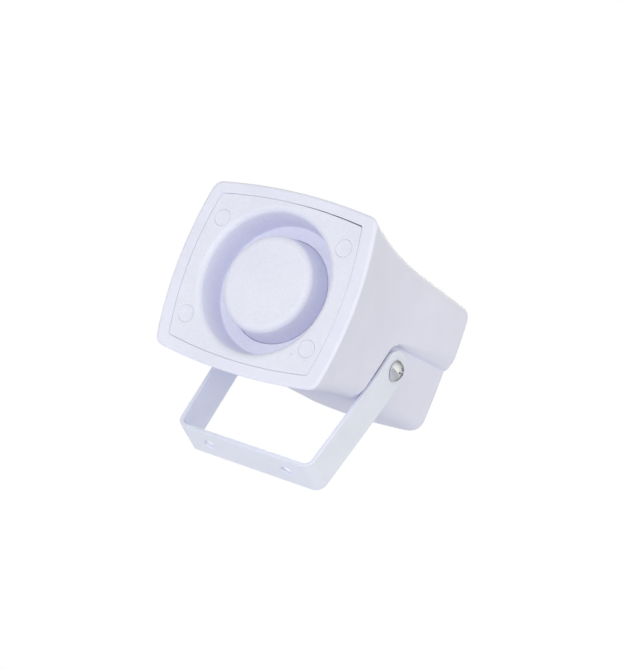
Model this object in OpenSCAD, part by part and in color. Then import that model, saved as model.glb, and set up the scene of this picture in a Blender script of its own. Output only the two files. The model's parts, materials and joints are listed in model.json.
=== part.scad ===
// Small alarm siren: a flared plastic horn housing that tilts in a U-shaped steel bracket.
// The origin is the middle of the bracket's underside, +Z is up and the siren faces -Y.

/* [Face] */
// Width of the face across the middle of its bowed sides
face_w = 76.6; // [70:0.2:92]
// Height of the face across the middle of its bowed top and bottom
face_h = 67.2; // [62:0.2:80]
// How far each side of the face bows out past its corners
face_bow_x = 3.6; // [2:0.1:5]
// How far the top and bottom of the face bow out past its corners
face_bow_z = 2.7; // [1:0.1:4]
// Radius of the face's corners
face_corner_r = 4; // [2:0.5:6]
// Width of the rim round the inset face plate, at the sides
rim_x = 5.2; // [4:0.1:7]
// Width of the rim at the top and bottom
rim_z = 4.35; // [3.6:0.05:6]
// Thickness of the face plate
plate_t = 2.6; // [2:0.02:3.5]

/* [Body] */
// Depth of the housing from the face to its rear wall
body_d = 96; // [90:0.2:116]
// Width of the upper body where the flare ends
body_w = 64.8; // [62:0.2:74]
// Width of the lower body, between the two bracket pockets
lower_w = 59.4; // [56:0.2:61]
// Height of the body above the axis of the horn
body_top = 28; // [26:0.2:34]
// Depth of the body below the axis of the horn
body_bottom = 26.4; // [25:0.2:32]
// How far the body's sides and top bow out past its corners
body_bow = 1.5; // [0.5:0.1:3]
// Radius of the body's long edges
body_corner_r = 7; // [4:0.5:9]
// Depth over which the face flares down to the body
flare_d = 59; // [45:1:70]
// How sharply the flare curves: 1 is straight
flare_power = 2.3; // [1.5:0.1:3]
// Narrowing of each side for every millimetre of depth
side_draft = 0.021; // [0:0.001:0.03]
// Rounding of the rear edges
rear_r = 2.7; // [1:0.1:4]
// Thickness of the housing's wall
wall = 2.2; // [1.8:0.02:3]

/* [Horn] */
// Radius of the recess at its lip
recess_r = 26; // [25:0.1:27]
// Radius of the recess at its floor
recess_floor_r = 24; // [22.5:0.1:25]
// Depth of the recess
recess_d = 11.4; // [9:0.1:13]
// Thickness of the recess's wall and floor
recess_wall = 1.8; // [1.4:0.1:2.2]
// Radius of the centre plug at the floor
plug_r = 19.1; // [17:0.1:20]
// Radius of the centre plug just under its rounded edge
plug_top_r = 17.9; // [15:0.1:19]
// Rounding of the plug's front edge
plug_edge_r = 2.4; // [1:0.1:4]
// How far the plug's front lies behind the face
plug_setback = 1.4; // [0.5:0.1:4]
// Width of the ring-shaped sound slot round the plug's base
slot_w = 0.4; // [0.4:0.1:1.2]
// Bore radius of the throat tube inside the plug
throat_r = 9; // [7:0.1:11]

/* [Driver] */
// Radius of the driver's frame
driver_r = 25; // [22:0.1:25.4]
// Radius of the moving cone
cone_r = 17; // [14:0.1:18]
// Radius of the voice coil's former, inside
coil_r = 7.6; // [6:0.1:9]
// Gap on each side of the voice coil
coil_gap = 0.3; // [0.2:0.05:0.5]
// Radius of the ring magnet
magnet_r = 18; // [15:0.1:19]
// Thickness of the ring magnet
magnet_t = 7; // [5:0.5:9]
// Thickness of the steel plates in front of and behind the magnet
pole_plate_t = 3; // [2:0.1:4]
// Radius on which the four driver screws lie
driver_screw_ring_r = 27; // [26:0.1:28]

/* [Bracket] */
// Width of the steel strip
strip_w = 14.6; // [12:0.1:17.6]
// Thickness of the steel strip
strip_t = 1.5; // [1.2:0.1:2]
// Height of the tilt axis above the underside of the base
pivot_h = 51.9; // [50:0.1:64]
// Half width of the bracket across the legs' outer faces, projected down to the base
base_half_w = 29.6; // [28:0.1:32]
// Outer radius of the two bends
bend_r = 4; // [3:0.1:6]
// Gap between an ear and the wall of the upper body beside it
ear_proud = 1.1; // [0.8:0.1:2]
// Distance between the two mounting holes
mount_spacing = 34.6; // [28:0.1:40]
// Radius of the mounting holes
mount_hole_r = 2.25; // [1.8:0.05:2.8]

/* [Pivot] */
// Distance of the tilt axis behind the face
pivot_y = 50.3; // [48:0.1:56]
// Distance of the tilt axis below the axis of the horn
pivot_drop = 10.3; // [8:0.1:12]
// Nose-down tilt of the siren in the bracket
tilt = 23.75; // [0:0.25:27]
// Gap between the leg and the front and top walls of its pocket
pocket_gap = 1; // [0.8:0.1:2.5]
// Radius of the pocket's top front corner
pocket_corner_r = 5; // [1:0.5:6]
// How far the pocket's top edge climbs from its front corner to the rear
pocket_rise = 2.9; // [0:0.1:4]
// Height of the sloped edge over the pocket at the rear of the body
bevel_rear = 6; // [3:0.5:7]
// Shank radius of the pivot screws
pivot_screw_r = 2; // [1.5:0.1:2.5]
// Head radius of the pivot screws
pivot_head_r = 4; // [3.2:0.1:5]
// Radial clearance of the pivot screw in the ear
pivot_clear = 0.08; // [0.03:0.01:0.1]

/* [Circuit board] */
// Width of the circuit board
board_w = 44; // [36:1:46]
// Height of the circuit board
board_h = 39; // [36:1:40]
// Thickness of the circuit board
board_t = 1.6; // [1:0.1:2]
// Length of the four posts that carry the board off the rear wall
post_len = 11.8; // [8:0.2:16]

/* [Hidden] */

$fn = 48;
joint_gap = 0.05;      // face-to-face gap between pieces that move on each other
fit_gap = 0.15;        // gap round pieces that drop into a recess
screw_gap = 0.05;      // radial gap round a screw in its hole
cut = 1;               // how far a cutter runs past the face it cuts

// Housing rim and the face plate in it
plate_half_w = face_w / 2 - rim_x;
plate_half_h = face_h / 2 - rim_z;
plate_bow_x = face_bow_x - 0.5;
plate_bow_z = face_bow_z - 0.25;
rim_round = 1.1;
gasket_t = 0.6;
ledge_lap = 3;
ledge_y = plate_t + gasket_t;
ledge_end = ledge_y + 2;
screw_cap_r = 3.1;
screw_cap_t = 1.2;
face_head_r = 2.8;
face_head_t = 1.6;
face_screw_r = 1.45;
face_screw_len = 12;
face_boss_r = 3.8;
face_boss_end = 18;
plate_pad_t = 2;
face_screw_x = plate_half_w - plate_bow_x - 3.85;
face_screw_z = plate_half_h - plate_bow_z - 8.6;
FACE_SCREWS = [for (sx = [-1, 1], sz = [-1, 1]) [sx * face_screw_x, sz * face_screw_z]];

// Reflex horn: the recess, the plug over it and the throat behind it
floor_end = recess_d + recess_wall;
plug_wall = 1.8;
plug_tab_t = 1.5;
plug_tab_w = 6;
cup_wall = 1.6;
cup_r = recess_floor_r + 0.6;
cup_end = floor_end + 7;
plug_tab_r = cup_r;
throat_front = plug_setback + plug_wall + 3.3;
DRIVER_SCREW_ANGLES = [50, 130, 230, 310];
driver_post_r = 2.8;
ear_half_w = driver_post_r - 0.4;
driver_screw_r = 1.1;
driver_screw_hold = 6;

// Driver, stacked from the throat cup's back
gasket_front = cup_end;
frame_front = gasket_front + 1;
frame_t = 1.5;
basket_wall = 1.2;
basket_end = frame_front + frame_t + 7;
top_plate_y = basket_end;
magnet_y = top_plate_y + pole_plate_t;
back_plate_y = magnet_y + magnet_t;
coil_wall = 0.5;
pole_r = coil_r - coil_gap;
gap_bore_r = coil_r + coil_wall + coil_gap;
cone_t = 0.5;
cone_y = frame_front + 1.6;
cone_rise = 3;
coil_front = cone_y + cone_rise;
coil_len = 9;
roll_r = 1.7;          // middle radius of the surround's half roll
roll_mid_r = cone_r + 0.02 + roll_r + cone_t / 2;
surround_seat_r = roll_mid_r + roll_r + cone_t / 2 + 0.15;

// Bracket
ear_r = strip_w / 2;
function flare(y) = y < flare_d ? pow(1 - max(y - rim_round, 0) / (flare_d - rim_round), flare_power) : 0;
function mix(body, face, y) = body + (face - body) * flare(y);
function half_w(y) = mix(body_w / 2 - side_draft * y, face_w / 2, y);
function lower_half_w(y) = lower_w / 2 - side_draft * y;
ear_x = half_w(pivot_y) + ear_proud;
ear_start = pivot_h - ear_r - 2;
splay = atan((ear_x - base_half_w) / ear_start);
bend_x = base_half_w - bend_r * cos(splay) + bend_r * (1 - sin(splay)) * tan(splay);

// Pivot: pad on the pocket floor, washer, ear, screw head
pad_x = lower_half_w(pivot_y) + 0.35;
pad_r = 6.4;
washer_r = 6;
insert_r = 3;
insert_len = 8;
insert_boss_r = 5;
pivot_screw_len = 11;
head_t = 3;

// Bracket pocket in the housing's side: its front wall is parallel to the leg, and a round
// corner joins it to the top edge
pocket_top = -pivot_drop + ear_r + pocket_gap;
pocket_front = ear_r + pocket_gap;
pocket_corner_y = pivot_y - pocket_front / cos(tilt) + (pocket_top + pivot_drop) * tan(tilt);
pocket_reach = body_d + 10;
bevel_front = 0.8;     // height of the sloped edge over the pocket, just behind its corner
bevel_start = pocket_corner_y + pocket_corner_r;
function pocket_edge(y) = pocket_top
    + pocket_rise * (y - pocket_corner_y) / (body_d - pocket_corner_y);

// Rear wall, board and cable outlet
rear_y = body_d - wall;
board_back = rear_y - post_len;
board_front = board_back - board_t;
board_z = 4.5;
post_r = 3;
board_screw_r = 1.2;
board_head_r = 2.3;
board_head_t = 1.5;
board_screw_len = 7.5;
board_inset = 3.5;
BOARD_SCREWS = [for (sx = [-1, 1], sz = [-1, 1])
    [sx * (board_w / 2 - board_inset), board_z + sz * (board_h / 2 - board_inset)]];
lead_r = 0.6;
lead_pitch = 4.2;
lead_mid_x = 3.5;
lead_z = surround_seat_r + basket_wall + 0.7;
outlet_r = 4.5;
outlet_z = 9.1 - body_bottom;
cable_bore_r = 2.6;
grommet_lip = 1.4;
grommet_lip_t = 1.2;

// ---- frames ----

// Puts geometry drawn in the siren's own frame (origin on the face, +Y to the rear) in the bracket
module in_siren() {
    translate([0, 0, pivot_h]) rotate([tilt, 0, 0]) translate([0, -pivot_y, pivot_drop]) children();
}

// Turns geometry drawn up the Z axis to run to the rear along +Y, starting at depth y
module along_y(y = 0) {
    translate([0, y, 0]) rotate([-90, 0, 0]) children();
}

// A plain round bar along +Y at (x, z)
module bar_y(x, z, y, len, r) {
    translate([x, 0, z]) along_y(y) cylinder(h = len, r = r);
}

// A block standing on the front of the circuit board, centred at (x, z)
module on_board(x, z, w, h, len) {
    translate([x - w / 2, board_front - len, z - h / 2]) cube([w, len, h]);
}

// ---- outlines ----

// Quarter of a bowed rectangle, from the middle of its side to the middle of its top
function quarter(a, b, bow_a, bow_b, r) =
    let (ca = a - bow_a, cb = b - bow_b, u = 1 - 0.8 * r / cb, v = 1 - 0.8 * r / ca,
         p0 = [a - bow_a * u * u, cb * u], p2 = [ca * v, b - bow_b * v * v], p1 = [ca, cb])
    concat(
        [for (t = [0, 0.5]) [a - bow_a * pow(u * t, 2), cb * u * t]],
        [for (t = [0 : 0.25 : 1]) p0 * (1 - t) * (1 - t) + p1 * 2 * t * (1 - t) + p2 * t * t],
        [for (t = [0.5, 0]) [ca * v * t, b - bow_b * pow(v * t, 2)]]);

function reversed(list) = [for (i = [len(list) - 1 : -1 : 0]) list[i]];
function without_first(list) = [for (i = [1 : len(list) - 1]) list[i]];
function without_ends(list) = [for (i = [1 : len(list) - 2]) list[i]];

// Whole ring, from the right side over the top, with its own height above and below the axis
function ring(a, top, bottom, bow_a, bow_b, r) =
    let (up = quarter(a, top, bow_a, bow_b, r), down = quarter(a, bottom, bow_a, bow_b, r))
    concat(up,
        without_first(reversed([for (p = up) [-p[0], p[1]]])),
        without_first([for (p = down) [-p[0], -p[1]]]),
        without_ends(reversed([for (p = down) [p[0], -p[1]]])));

// Skin over a row of rings; each station is [depth, ring]
module skin(stations) {
    n = len(stations[0][1]);
    m = len(stations);
    points = [for (s = stations, p = s[1]) [p[0], s[0], p[1]]];
    sides = [for (i = [0 : m - 2], j = [0 : n - 1])
        let (k = (j + 1) % n, a = i * n + j, b = i * n + k, c = a + n, d = b + n)
        each [[a, b, d], [a, d, c]]];
    polyhedron(points, concat(sides,
        [[for (j = [n - 1 : -1 : 0]) j]], [[for (j = [0 : n - 1]) (m - 1) * n + j]]), convexity = 6);
}

// Ring of the flared body at depth y, moved in by inset
function body_ring(y, inset) =
    ring(half_w(y) - inset, mix(body_top, face_h / 2, y) - inset,
        mix(body_bottom, face_h / 2, y) - inset, mix(body_bow / 2, face_bow_x, y),
        mix(body_bow, face_bow_z, y), mix(body_corner_r, face_corner_r, y) - inset / 2);

// Ring of the narrower lower body at depth y, whose underside carries on the flared body's
function lower_ring(y, inset) =
    ring(lower_half_w(y) - inset, body_top - 8 - inset, mix(body_bottom, face_h / 2, y) - inset,
        body_bow / 2, mix(body_bow, face_bow_z, y), mix(body_corner_r, face_corner_r, y) - inset / 2);

// Depths and insets that round the rear edge over r, ending at depth last
function rear_round(last, r) = [for (s = [0 : 22.5 : 90]) [last - r + r * sin(s), r * (1 - cos(s))]];

// ---- housing ----

// Flared body with its pockets and narrow lower rear, from depth first to last
module body_solid(first, last, inset, front_round) {
    r = rear_r - inset / 2;
    front = front_round > 0
        ? [for (s = [0 : 30 : 90]) [first + front_round * (1 - cos(s)), front_round * (1 - sin(s))]]
        : [[first, 0]];
    middle = [for (t = [0.06, 0.12, 0.2, 0.3, 0.42, 0.56, 0.72, 0.9, 1.05])
        if (t * flare_d > first + front_round + 0.5 && t * flare_d < last - r - 1) [t * flare_d, 0]];
    difference() {
        skin([for (s = concat(front, middle, rear_round(last, r)))
            [s[0], body_ring(s[0], inset + s[1])]]);
        pocket_cutter(inset);
    }
    lower_start = pivot_y - (pocket_front + inset) / cos(tilt)
        - (body_bottom - pivot_drop) * tan(tilt) - 5;
    skin([for (s = concat([for (t = [0 : 0.25 : 1]) [lower_start + t * (flare_d - lower_start), 0]],
            rear_round(last, r)))
        [s[0], lower_ring(s[0], inset + s[1])]]);
}

// Everything behind and below the pocket's front and top walls, grown by inset, with a
// top edge that slopes out towards the rear on each side
module pocket_cutter(inset) {
    reach = body_bottom + 30;
    front_low = pocket_corner_y - (pocket_top + reach) * tan(tilt);
    rotate([90, 0, 90]) linear_extrude(2 * face_w, center = true)
        offset(r = pocket_corner_r + inset) offset(delta = -pocket_corner_r)
            polygon([[front_low, -reach], [pocket_reach, -reach],
                [pocket_reach, pocket_edge(pocket_reach)], [pocket_corner_y, pocket_top]]);
    step = (body_w - lower_w) / 2;
    for (side = [-1, 1]) hull() {
        for (p = [[bevel_start, bevel_front], [body_d + 4, bevel_rear]])
            translate([side * (lower_half_w(p[0]) - inset), p[0], pocket_edge(p[0]) + inset])
                rotate([90, 0, 0]) linear_extrude(0.1)
                    polygon([[0, -1], [side * 3 * step, -1], [side * 3 * step, p[1] * 3], [0, 0]]);
    }
}

// Bowed rectangle made of four arcs, on the face
module bowed(w, h, bow_x, bow_z) {
    rx = (pow(h - bow_z, 2) + pow(bow_x, 2)) / (2 * bow_x);
    rz = (pow(w - bow_x, 2) + pow(bow_z, 2)) / (2 * bow_z);
    intersection() {
        translate([w - rx, 0]) circle(rx, $fn = 360);
        translate([rx - w, 0]) circle(rx, $fn = 360);
        translate([0, h - rz]) circle(rz, $fn = 360);
        translate([0, rz - h]) circle(rz, $fn = 360);
    }
}

module plate_outline(grow) {
    bowed(plate_half_w + grow, plate_half_h + grow, plate_bow_x, plate_bow_z);
}

module housing_shell() {
    difference() {
        body_solid(0, body_d, 0, rim_round);
        body_solid(ledge_end, rear_y, wall, 0);
        along_y(-cut) linear_extrude(cut + ledge_y) plate_outline(fit_gap);
        along_y(ledge_y - cut) linear_extrude(ledge_end - ledge_y + 2 * cut)
            plate_outline(-ledge_lap);
        plate_pads(fit_gap);
        recess_body(fit_gap);
    }
}

// Boss that a face screw goes into, with a web that ties it to the side wall
module face_boss(x, z) {
    start = plate_t + plate_pad_t;
    web_t = 2.4;
    web_end = half_w(face_boss_end) - wall + 0.6;
    bar_y(x, z, start, face_boss_end - start, face_boss_r);
    mirror([x < 0 ? 1 : 0, 0, 0]) translate([abs(x), start, z - web_t / 2])
        cube([web_end - abs(x), face_boss_end - start, web_t]);
}

module housing() {
    insert_start = pad_x - insert_len;
    color("lavender") in_siren() difference() {
        union() {
            housing_shell();
            for (p = FACE_SCREWS) face_boss(p[0], p[1]);
            for (p = BOARD_SCREWS) bar_y(p[0], p[1], board_back, post_len + wall / 2, post_r);
            for (side = [-1, 1]) translate([0, pivot_y, -pivot_drop]) rotate([0, side * 90, 0]) {
                translate([0, 0, insert_start - 1.5]) cylinder(h = insert_len + 0.5, r = insert_boss_r);
                translate([0, 0, pad_x - wall]) cylinder(h = wall, r = pad_r);
            }
        }
        for (p = FACE_SCREWS)
            bar_y(p[0], p[1], plate_t, face_screw_len + 1, face_screw_r + screw_gap);
        for (p = BOARD_SCREWS)
            bar_y(p[0], p[1], board_back - cut, board_screw_len, board_screw_r + screw_gap);
        for (side = [-1, 1]) translate([0, pivot_y, -pivot_drop]) rotate([0, side * 90, 0])
            translate([0, 0, insert_start]) cylinder(h = insert_len + cut, r = insert_r);
        bar_y(0, outlet_z, rear_y - cut, wall + 2 * cut, outlet_r);
    }
}

module face_gasket() {
    color("dimgray") in_siren() difference() {
        along_y(plate_t) linear_extrude(gasket_t) difference() {
            plate_outline(0);
            plate_outline(-ledge_lap + 0.3);
        }
        plate_pads(fit_gap);
        recess_body(fit_gap);
    }
}

// ---- face plate, plug and throat ----

// What stands out behind the face plate: thick pads round its four screws, and the recess
module plate_pads(grow) {
    for (p = FACE_SCREWS) bar_y(p[0], p[1], plate_t / 2, plate_t / 2 + plate_pad_t, face_boss_r + grow);
}
module recess_body(grow) {
    along_y(0) cylinder(h = floor_end, r1 = recess_r + recess_wall + grow,
        r2 = recess_floor_r + recess_wall + grow, $fn = 96);
}

// Posts behind the face plate that the driver screws go into
module driver_places() {
    for (a = DRIVER_SCREW_ANGLES) rotate([0, a, 0]) translate([driver_screw_ring_r, 0, 0]) children();
}

module face_plate() {
    color("aliceblue") in_siren() difference() {
        union() {
            along_y(0) linear_extrude(plate_t) plate_outline(0);
            plate_pads(0);
            recess_body(0);
            driver_places() along_y(plate_t / 2)
                cylinder(h = cup_end - cup_wall - plate_t / 2, r = driver_post_r);
        }
        recess_cutter();
        along_y(floor_end) cylinder(h = cup_end - floor_end, r = cup_r + joint_gap);
        for (p = FACE_SCREWS) {
            bar_y(p[0], p[1], -cut, cut + screw_cap_t + face_head_t + 0.1, screw_cap_r + 0.08);
            bar_y(p[0], p[1], 0, plate_t + plate_pad_t + cut, face_screw_r + 0.15);
        }
        driver_places() along_y(cup_end - cup_wall - driver_screw_hold)
            cylinder(h = driver_screw_hold + cut, r = driver_screw_r + screw_gap);
    }
}

// Inside of the recess, with its rounded lip, and the hole in its floor
module recess_cutter() {
    lip = 1.2;
    slope = (recess_r - recess_floor_r) / recess_d;
    along_y(0) rotate_extrude($fn = 96) polygon(concat(
        [[0, -cut], [recess_r + lip, -cut]],
        [for (s = [0 : 15 : 90]) [recess_r + lip - lip * sin(s) - slope * lip * (1 - cos(s)),
            lip * (1 - cos(s))]],
        [[recess_floor_r, recess_d], [plug_r + slot_w, recess_d],
         [plug_r + slot_w, floor_end + cut], [0, floor_end + cut]]));
}

module face_screws() {
    y = screw_cap_t;
    color("silver") in_siren() for (p = FACE_SCREWS) difference() {
        union() {
            bar_y(p[0], p[1], y, face_head_t, face_head_r);
            bar_y(p[0], p[1], y, face_head_t + face_screw_len, face_screw_r);
        }
        translate([p[0], y, p[1]]) cross_recess(1.6, 0.8);
    }
}

// Cross-shaped driver recess, open towards -Y
module cross_recess(size, depth) {
    arm = size * 0.3;
    for (a = [0, 90]) rotate([0, a, 0]) translate([-size, -cut, -arm / 2])
        cube([2 * size, depth + cut, arm]);
}

module screw_caps() {
    color("aliceblue") in_siren() for (p = FACE_SCREWS)
        bar_y(p[0], p[1], 0, screw_cap_t - 0.05, screw_cap_r);
}

module centre_plug() {
    edge_y = plug_setback + plug_edge_r;
    color("aliceblue") in_siren() {
        along_y(0) rotate_extrude($fn = 96) polygon(concat(
            [[0, plug_setback]],
            [for (s = [0 : 15 : 90]) [plug_top_r - plug_edge_r + plug_edge_r * sin(s),
                edge_y - plug_edge_r * cos(s)]],
            [[plug_r, recess_d], [plug_r, floor_end + plug_tab_t],
             [plug_r - plug_wall, floor_end + plug_tab_t],
             [plug_top_r - plug_wall, edge_y + 1],
             [plug_top_r - plug_wall - 1.5, plug_setback + plug_wall], [0, plug_setback + plug_wall]]));
        for (a = [90, 210, 330]) rotate([0, a, 0])
            translate([plug_r - plug_wall, floor_end, -plug_tab_w / 2])
                cube([plug_tab_r - plug_r + plug_wall, plug_tab_t, plug_tab_w]);
    }
}

module throat_cup() {
    color("white") in_siren() difference() {
        union() {
            along_y(0) rotate_extrude($fn = 96) polygon([
                [throat_r, cup_end], [throat_r, throat_front + 2], [throat_r + 0.6, throat_front],
                [throat_r + cup_wall, throat_front], [throat_r + cup_wall, cup_end - cup_wall],
                [cup_r - cup_wall, cup_end - cup_wall], [cup_r - cup_wall, floor_end],
                [cup_r, floor_end], [cup_r, cup_end]]);
            driver_places() along_y(cup_end - cup_wall) cylinder(h = cup_wall, r = driver_post_r);
            for (a = DRIVER_SCREW_ANGLES) rotate([0, a, 0])
                translate([cup_r - cup_wall / 2, cup_end - cup_wall, -ear_half_w])
                    cube([driver_screw_ring_r - cup_r + cup_wall / 2, cup_wall, 2 * ear_half_w]);
        }
        // notches that hold the plug's three tabs
        for (a = [90, 210, 330]) rotate([0, a, 0])
            translate([plug_r, floor_end - cut, -plug_tab_w / 2 - 0.1])
                cube([cup_r - plug_r + cut, cut + plug_tab_t + 0.05, plug_tab_w + 0.2]);
        driver_places() along_y(cup_end - cup_wall - cut)
            cylinder(h = cup_wall + 2 * cut, r = driver_screw_r + screw_gap);
    }
}

// ---- driver ----

module driver_gasket() {
    color("dimgray") in_siren() along_y(gasket_front) linear_extrude(frame_front - gasket_front)
        difference() {
            circle(driver_r - 0.4);
            circle(surround_seat_r);
        }
}

// Pressed basket: flat flange, a step that the surround sits on, and a cone down to the magnet
module driver_frame() {
    neck_r = magnet_r - 2;
    seat_y = cone_y;
    color("darkgray") in_siren() difference() {
        union() {
            along_y(0) rotate_extrude($fn = 96) polygon([
                [surround_seat_r, frame_front], [driver_r, frame_front],
                [driver_r, frame_front + frame_t], [surround_seat_r + basket_wall, frame_front + frame_t],
                [surround_seat_r + basket_wall - 0.6, seat_y + basket_wall], [neck_r, basket_end],
                [gap_bore_r + 1, basket_end], [gap_bore_r + 1, basket_end - basket_wall],
                [neck_r - basket_wall, basket_end - basket_wall],
                [surround_seat_r - 1.1, seat_y], [surround_seat_r, seat_y]]);
            driver_places() along_y(frame_front) cylinder(h = frame_t, r = driver_post_r);
            for (a = DRIVER_SCREW_ANGLES) rotate([0, a, 0])
                translate([driver_r - 1, frame_front, -ear_half_w])
                    cube([driver_screw_ring_r - driver_r + 1, frame_t, 2 * ear_half_w]);
        }
        driver_places() along_y(frame_front - cut)
            cylinder(h = frame_t + 2 * cut, r = driver_screw_r + screw_gap);
        // eight round vents through the cone
        for (a = [5 : 45 : 320]) rotate([0, a, 0]) translate([0, (seat_y + basket_end) / 2, 0])
            rotate([0, 90, 0]) translate([0, 0, gap_bore_r + 3]) cylinder(h = 20, r = 1.9);
    }
}

// Rolled paper ring between the cone and the frame's step
module surround() {
    color("dimgray") in_siren() along_y(0) rotate_extrude($fn = 96) difference() {
        translate([roll_mid_r, cone_y]) circle(roll_r + cone_t / 2, $fn = 32);
        translate([roll_mid_r, cone_y]) circle(roll_r - cone_t / 2, $fn = 32);
        translate([roll_mid_r - 2 * roll_r, cone_y]) square(4 * roll_r);
    }
}

module diaphragm() {
    dome_h = 2.4;
    dome_r = (pow(coil_r, 2) + pow(dome_h, 2)) / (2 * dome_h);
    color("tan") in_siren() along_y(0) rotate_extrude($fn = 96) polygon(concat(
        [[cone_r, cone_y - cone_t], [cone_r, cone_y], [coil_r + coil_wall, coil_front],
         [coil_r, coil_front]],
        [for (i = [4 : -1 : 0]) let (x = coil_r * i / 4)
            [x, coil_front + dome_r - dome_h - sqrt(dome_r * dome_r - x * x)]],
        [for (i = [0 : 4]) let (x = coil_r * i / 4)
            [x, coil_front - cone_t + dome_r - dome_h - sqrt(dome_r * dome_r - x * x)]]));
}

module voice_coil() {
    color("peru") in_siren() along_y(coil_front) difference() {
        cylinder(h = coil_len, r = coil_r + coil_wall);
        translate([0, 0, -cut]) cylinder(h = coil_len + 2 * cut, r = coil_r);
    }
}

// Flat ring behind the basket
module driver_ring(y, t, r, bore) {
    along_y(y) difference() {
        cylinder(h = t, r = r);
        translate([0, 0, -cut]) cylinder(h = t + 2 * cut, r = bore);
    }
}

module top_pole_plate() {
    color("silver") in_siren() driver_ring(top_plate_y, pole_plate_t, magnet_r - 2, gap_bore_r);
}

module ring_magnet() {
    color("#303034") in_siren() driver_ring(magnet_y, magnet_t, magnet_r, gap_bore_r + 1.5);
}

module back_pole_plate() {
    color("silver") in_siren() {
        along_y(back_plate_y) cylinder(h = pole_plate_t, r = magnet_r - 2);
        along_y(top_plate_y) cylinder(h = back_plate_y - top_plate_y + 1, r = pole_r);
    }
}

module driver_screws() {
    head_r = 2.1;
    screw_len = driver_screw_hold + cup_wall + frame_front - gasket_front + frame_t - 1;
    color("silver") in_siren() driver_places() {
        along_y(frame_front + frame_t) cylinder(h = 1.4, r = head_r);
        along_y(frame_front + frame_t - screw_len) cylinder(h = screw_len + 1, r = driver_screw_r);
    }
}

// Strip with two solder tags, on the back of the frame's flange
module driver_terminals() {
    color("goldenrod") in_siren() {
        translate([lead_mid_x - 4.5, frame_front + frame_t, lead_z - 0.65]) cube([9, 0.8, 2.2]);
        for (side = [-1, 1])
            translate([lead_mid_x + side * lead_pitch / 2 - 0.9, frame_front + frame_t + 0.4,
                    lead_z + lead_r + 0.1])
                cube([1.8, 3, 0.4]);
    }
}

// Two stiff wires from the driver's tags straight back to the board
module driver_leads() {
    color("firebrick") in_siren() for (side = [-1, 1])
        bar_y(lead_mid_x + side * lead_pitch / 2, lead_z, frame_front + frame_t + 0.8,
            board_front - frame_front - frame_t - 0.8, lead_r);
}

// ---- bracket and pivots ----

// One edge of the bracket's right half, moved in from its outer face by depth
function bracket_edge(depth) =
    let (r = bend_r - depth, kink = ear_start + depth * tan(splay / 2))
    concat(
        [for (i = [0 : 8]) let (a = -90 + (90 - splay) * i / 8) [bend_x + r * cos(a), bend_r + r * sin(a)]],
        [[ear_x - depth, kink], [ear_x - depth, pivot_h + ear_r]]);

// Outline of the bracket seen from the front
module bracket_outline() {
    outer = bracket_edge(0);
    inner = bracket_edge(strip_t);
    polygon(concat([for (p = reversed(outer)) [-p[0], p[1]]], outer,
        reversed(inner), [for (p = inner) [-p[0], p[1]]]));
}

module bracket() {
    color("gainsboro") difference() {
        intersection() {
            rotate([90, 0, 0]) linear_extrude(strip_w, center = true) bracket_outline();
            union() {
                translate([-face_w, -face_h, -cut]) cube([2 * face_w, 2 * face_h, pivot_h + cut]);
                translate([-face_w, 0, pivot_h]) rotate([0, 90, 0]) cylinder(h = 2 * face_w, r = ear_r);
            }
        }
        for (side = [-1, 1]) {
            translate([side * mount_spacing / 2, 0, -cut])
                cylinder(h = strip_t + 2 * cut, r = mount_hole_r);
            translate([0, 0, pivot_h]) rotate([0, side * 90, 0]) translate([0, 0, ear_x - strip_t - cut])
                cylinder(h = strip_t + 2 * cut, r = pivot_screw_r + pivot_clear);
        }
    }
}

// Places geometry drawn up +Z so that it points out of one side of the siren along the tilt axis
module at_pivot(side, x) {
    in_siren() translate([0, pivot_y, -pivot_drop]) rotate([0, side * 90, 0])
        translate([0, 0, x]) children();
}

module friction_washers() {
    color("ivory") for (side = [-1, 1]) at_pivot(side, pad_x) difference() {
        cylinder(h = ear_x - strip_t - joint_gap - pad_x, r = washer_r);
        translate([0, 0, -cut]) cylinder(h = 10, r = pivot_screw_r + 0.15);
    }
}

module pivot_inserts() {
    color("goldenrod") for (side = [-1, 1]) at_pivot(side, pad_x - insert_len) difference() {
        cylinder(h = insert_len - 0.1, r = insert_r);
        translate([0, 0, -cut]) cylinder(h = insert_len + 2 * cut, r = pivot_screw_r + screw_gap);
    }
}

// Domed pan head with a cross recess, on a plain shank
module pivot_screw(side) {
    edge_h = 0.6;
    rise = head_t - edge_h;
    dome_r = (pow(pivot_head_r, 2) + pow(rise, 2)) / (2 * rise);
    color("silver") at_pivot(side, ear_x + joint_gap) difference() {
        union() {
            rotate_extrude() polygon(concat(
                [[0, 0], [pivot_head_r, 0]],
                [for (i = [0 : 8]) let (x = pivot_head_r * cos(i * 90 / 8))
                    [x < 0.001 ? 0 : x, head_t - dome_r + sqrt(dome_r * dome_r - x * x)]]));
            translate([0, 0, -pivot_screw_len]) cylinder(h = pivot_screw_len + edge_h, r = pivot_screw_r);
        }
        for (a = [20, 110]) rotate(a) translate([-2.1, -0.4, head_t - 1.2]) cube([4.2, 0.8, 3]);
    }
}

module pivot_screw_left() { pivot_screw(-1); }
module pivot_screw_right() { pivot_screw(1); }

// ---- circuit board ----

module circuit_board() {
    color("darkgreen") in_siren() difference() {
        translate([-board_w / 2, board_front, board_z - board_h / 2]) cube([board_w, board_t, board_h]);
        for (p = BOARD_SCREWS)
            bar_y(p[0], p[1], board_front - cut, board_t + 2 * cut, board_screw_r + 0.15);
    }
}

module board_screws() {
    color("silver") in_siren() for (p = BOARD_SCREWS) {
        bar_y(p[0], p[1], board_front - board_head_t, board_head_t, board_head_r);
        bar_y(p[0], p[1], board_front - 1, board_screw_len, board_screw_r);
    }
}

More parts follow.
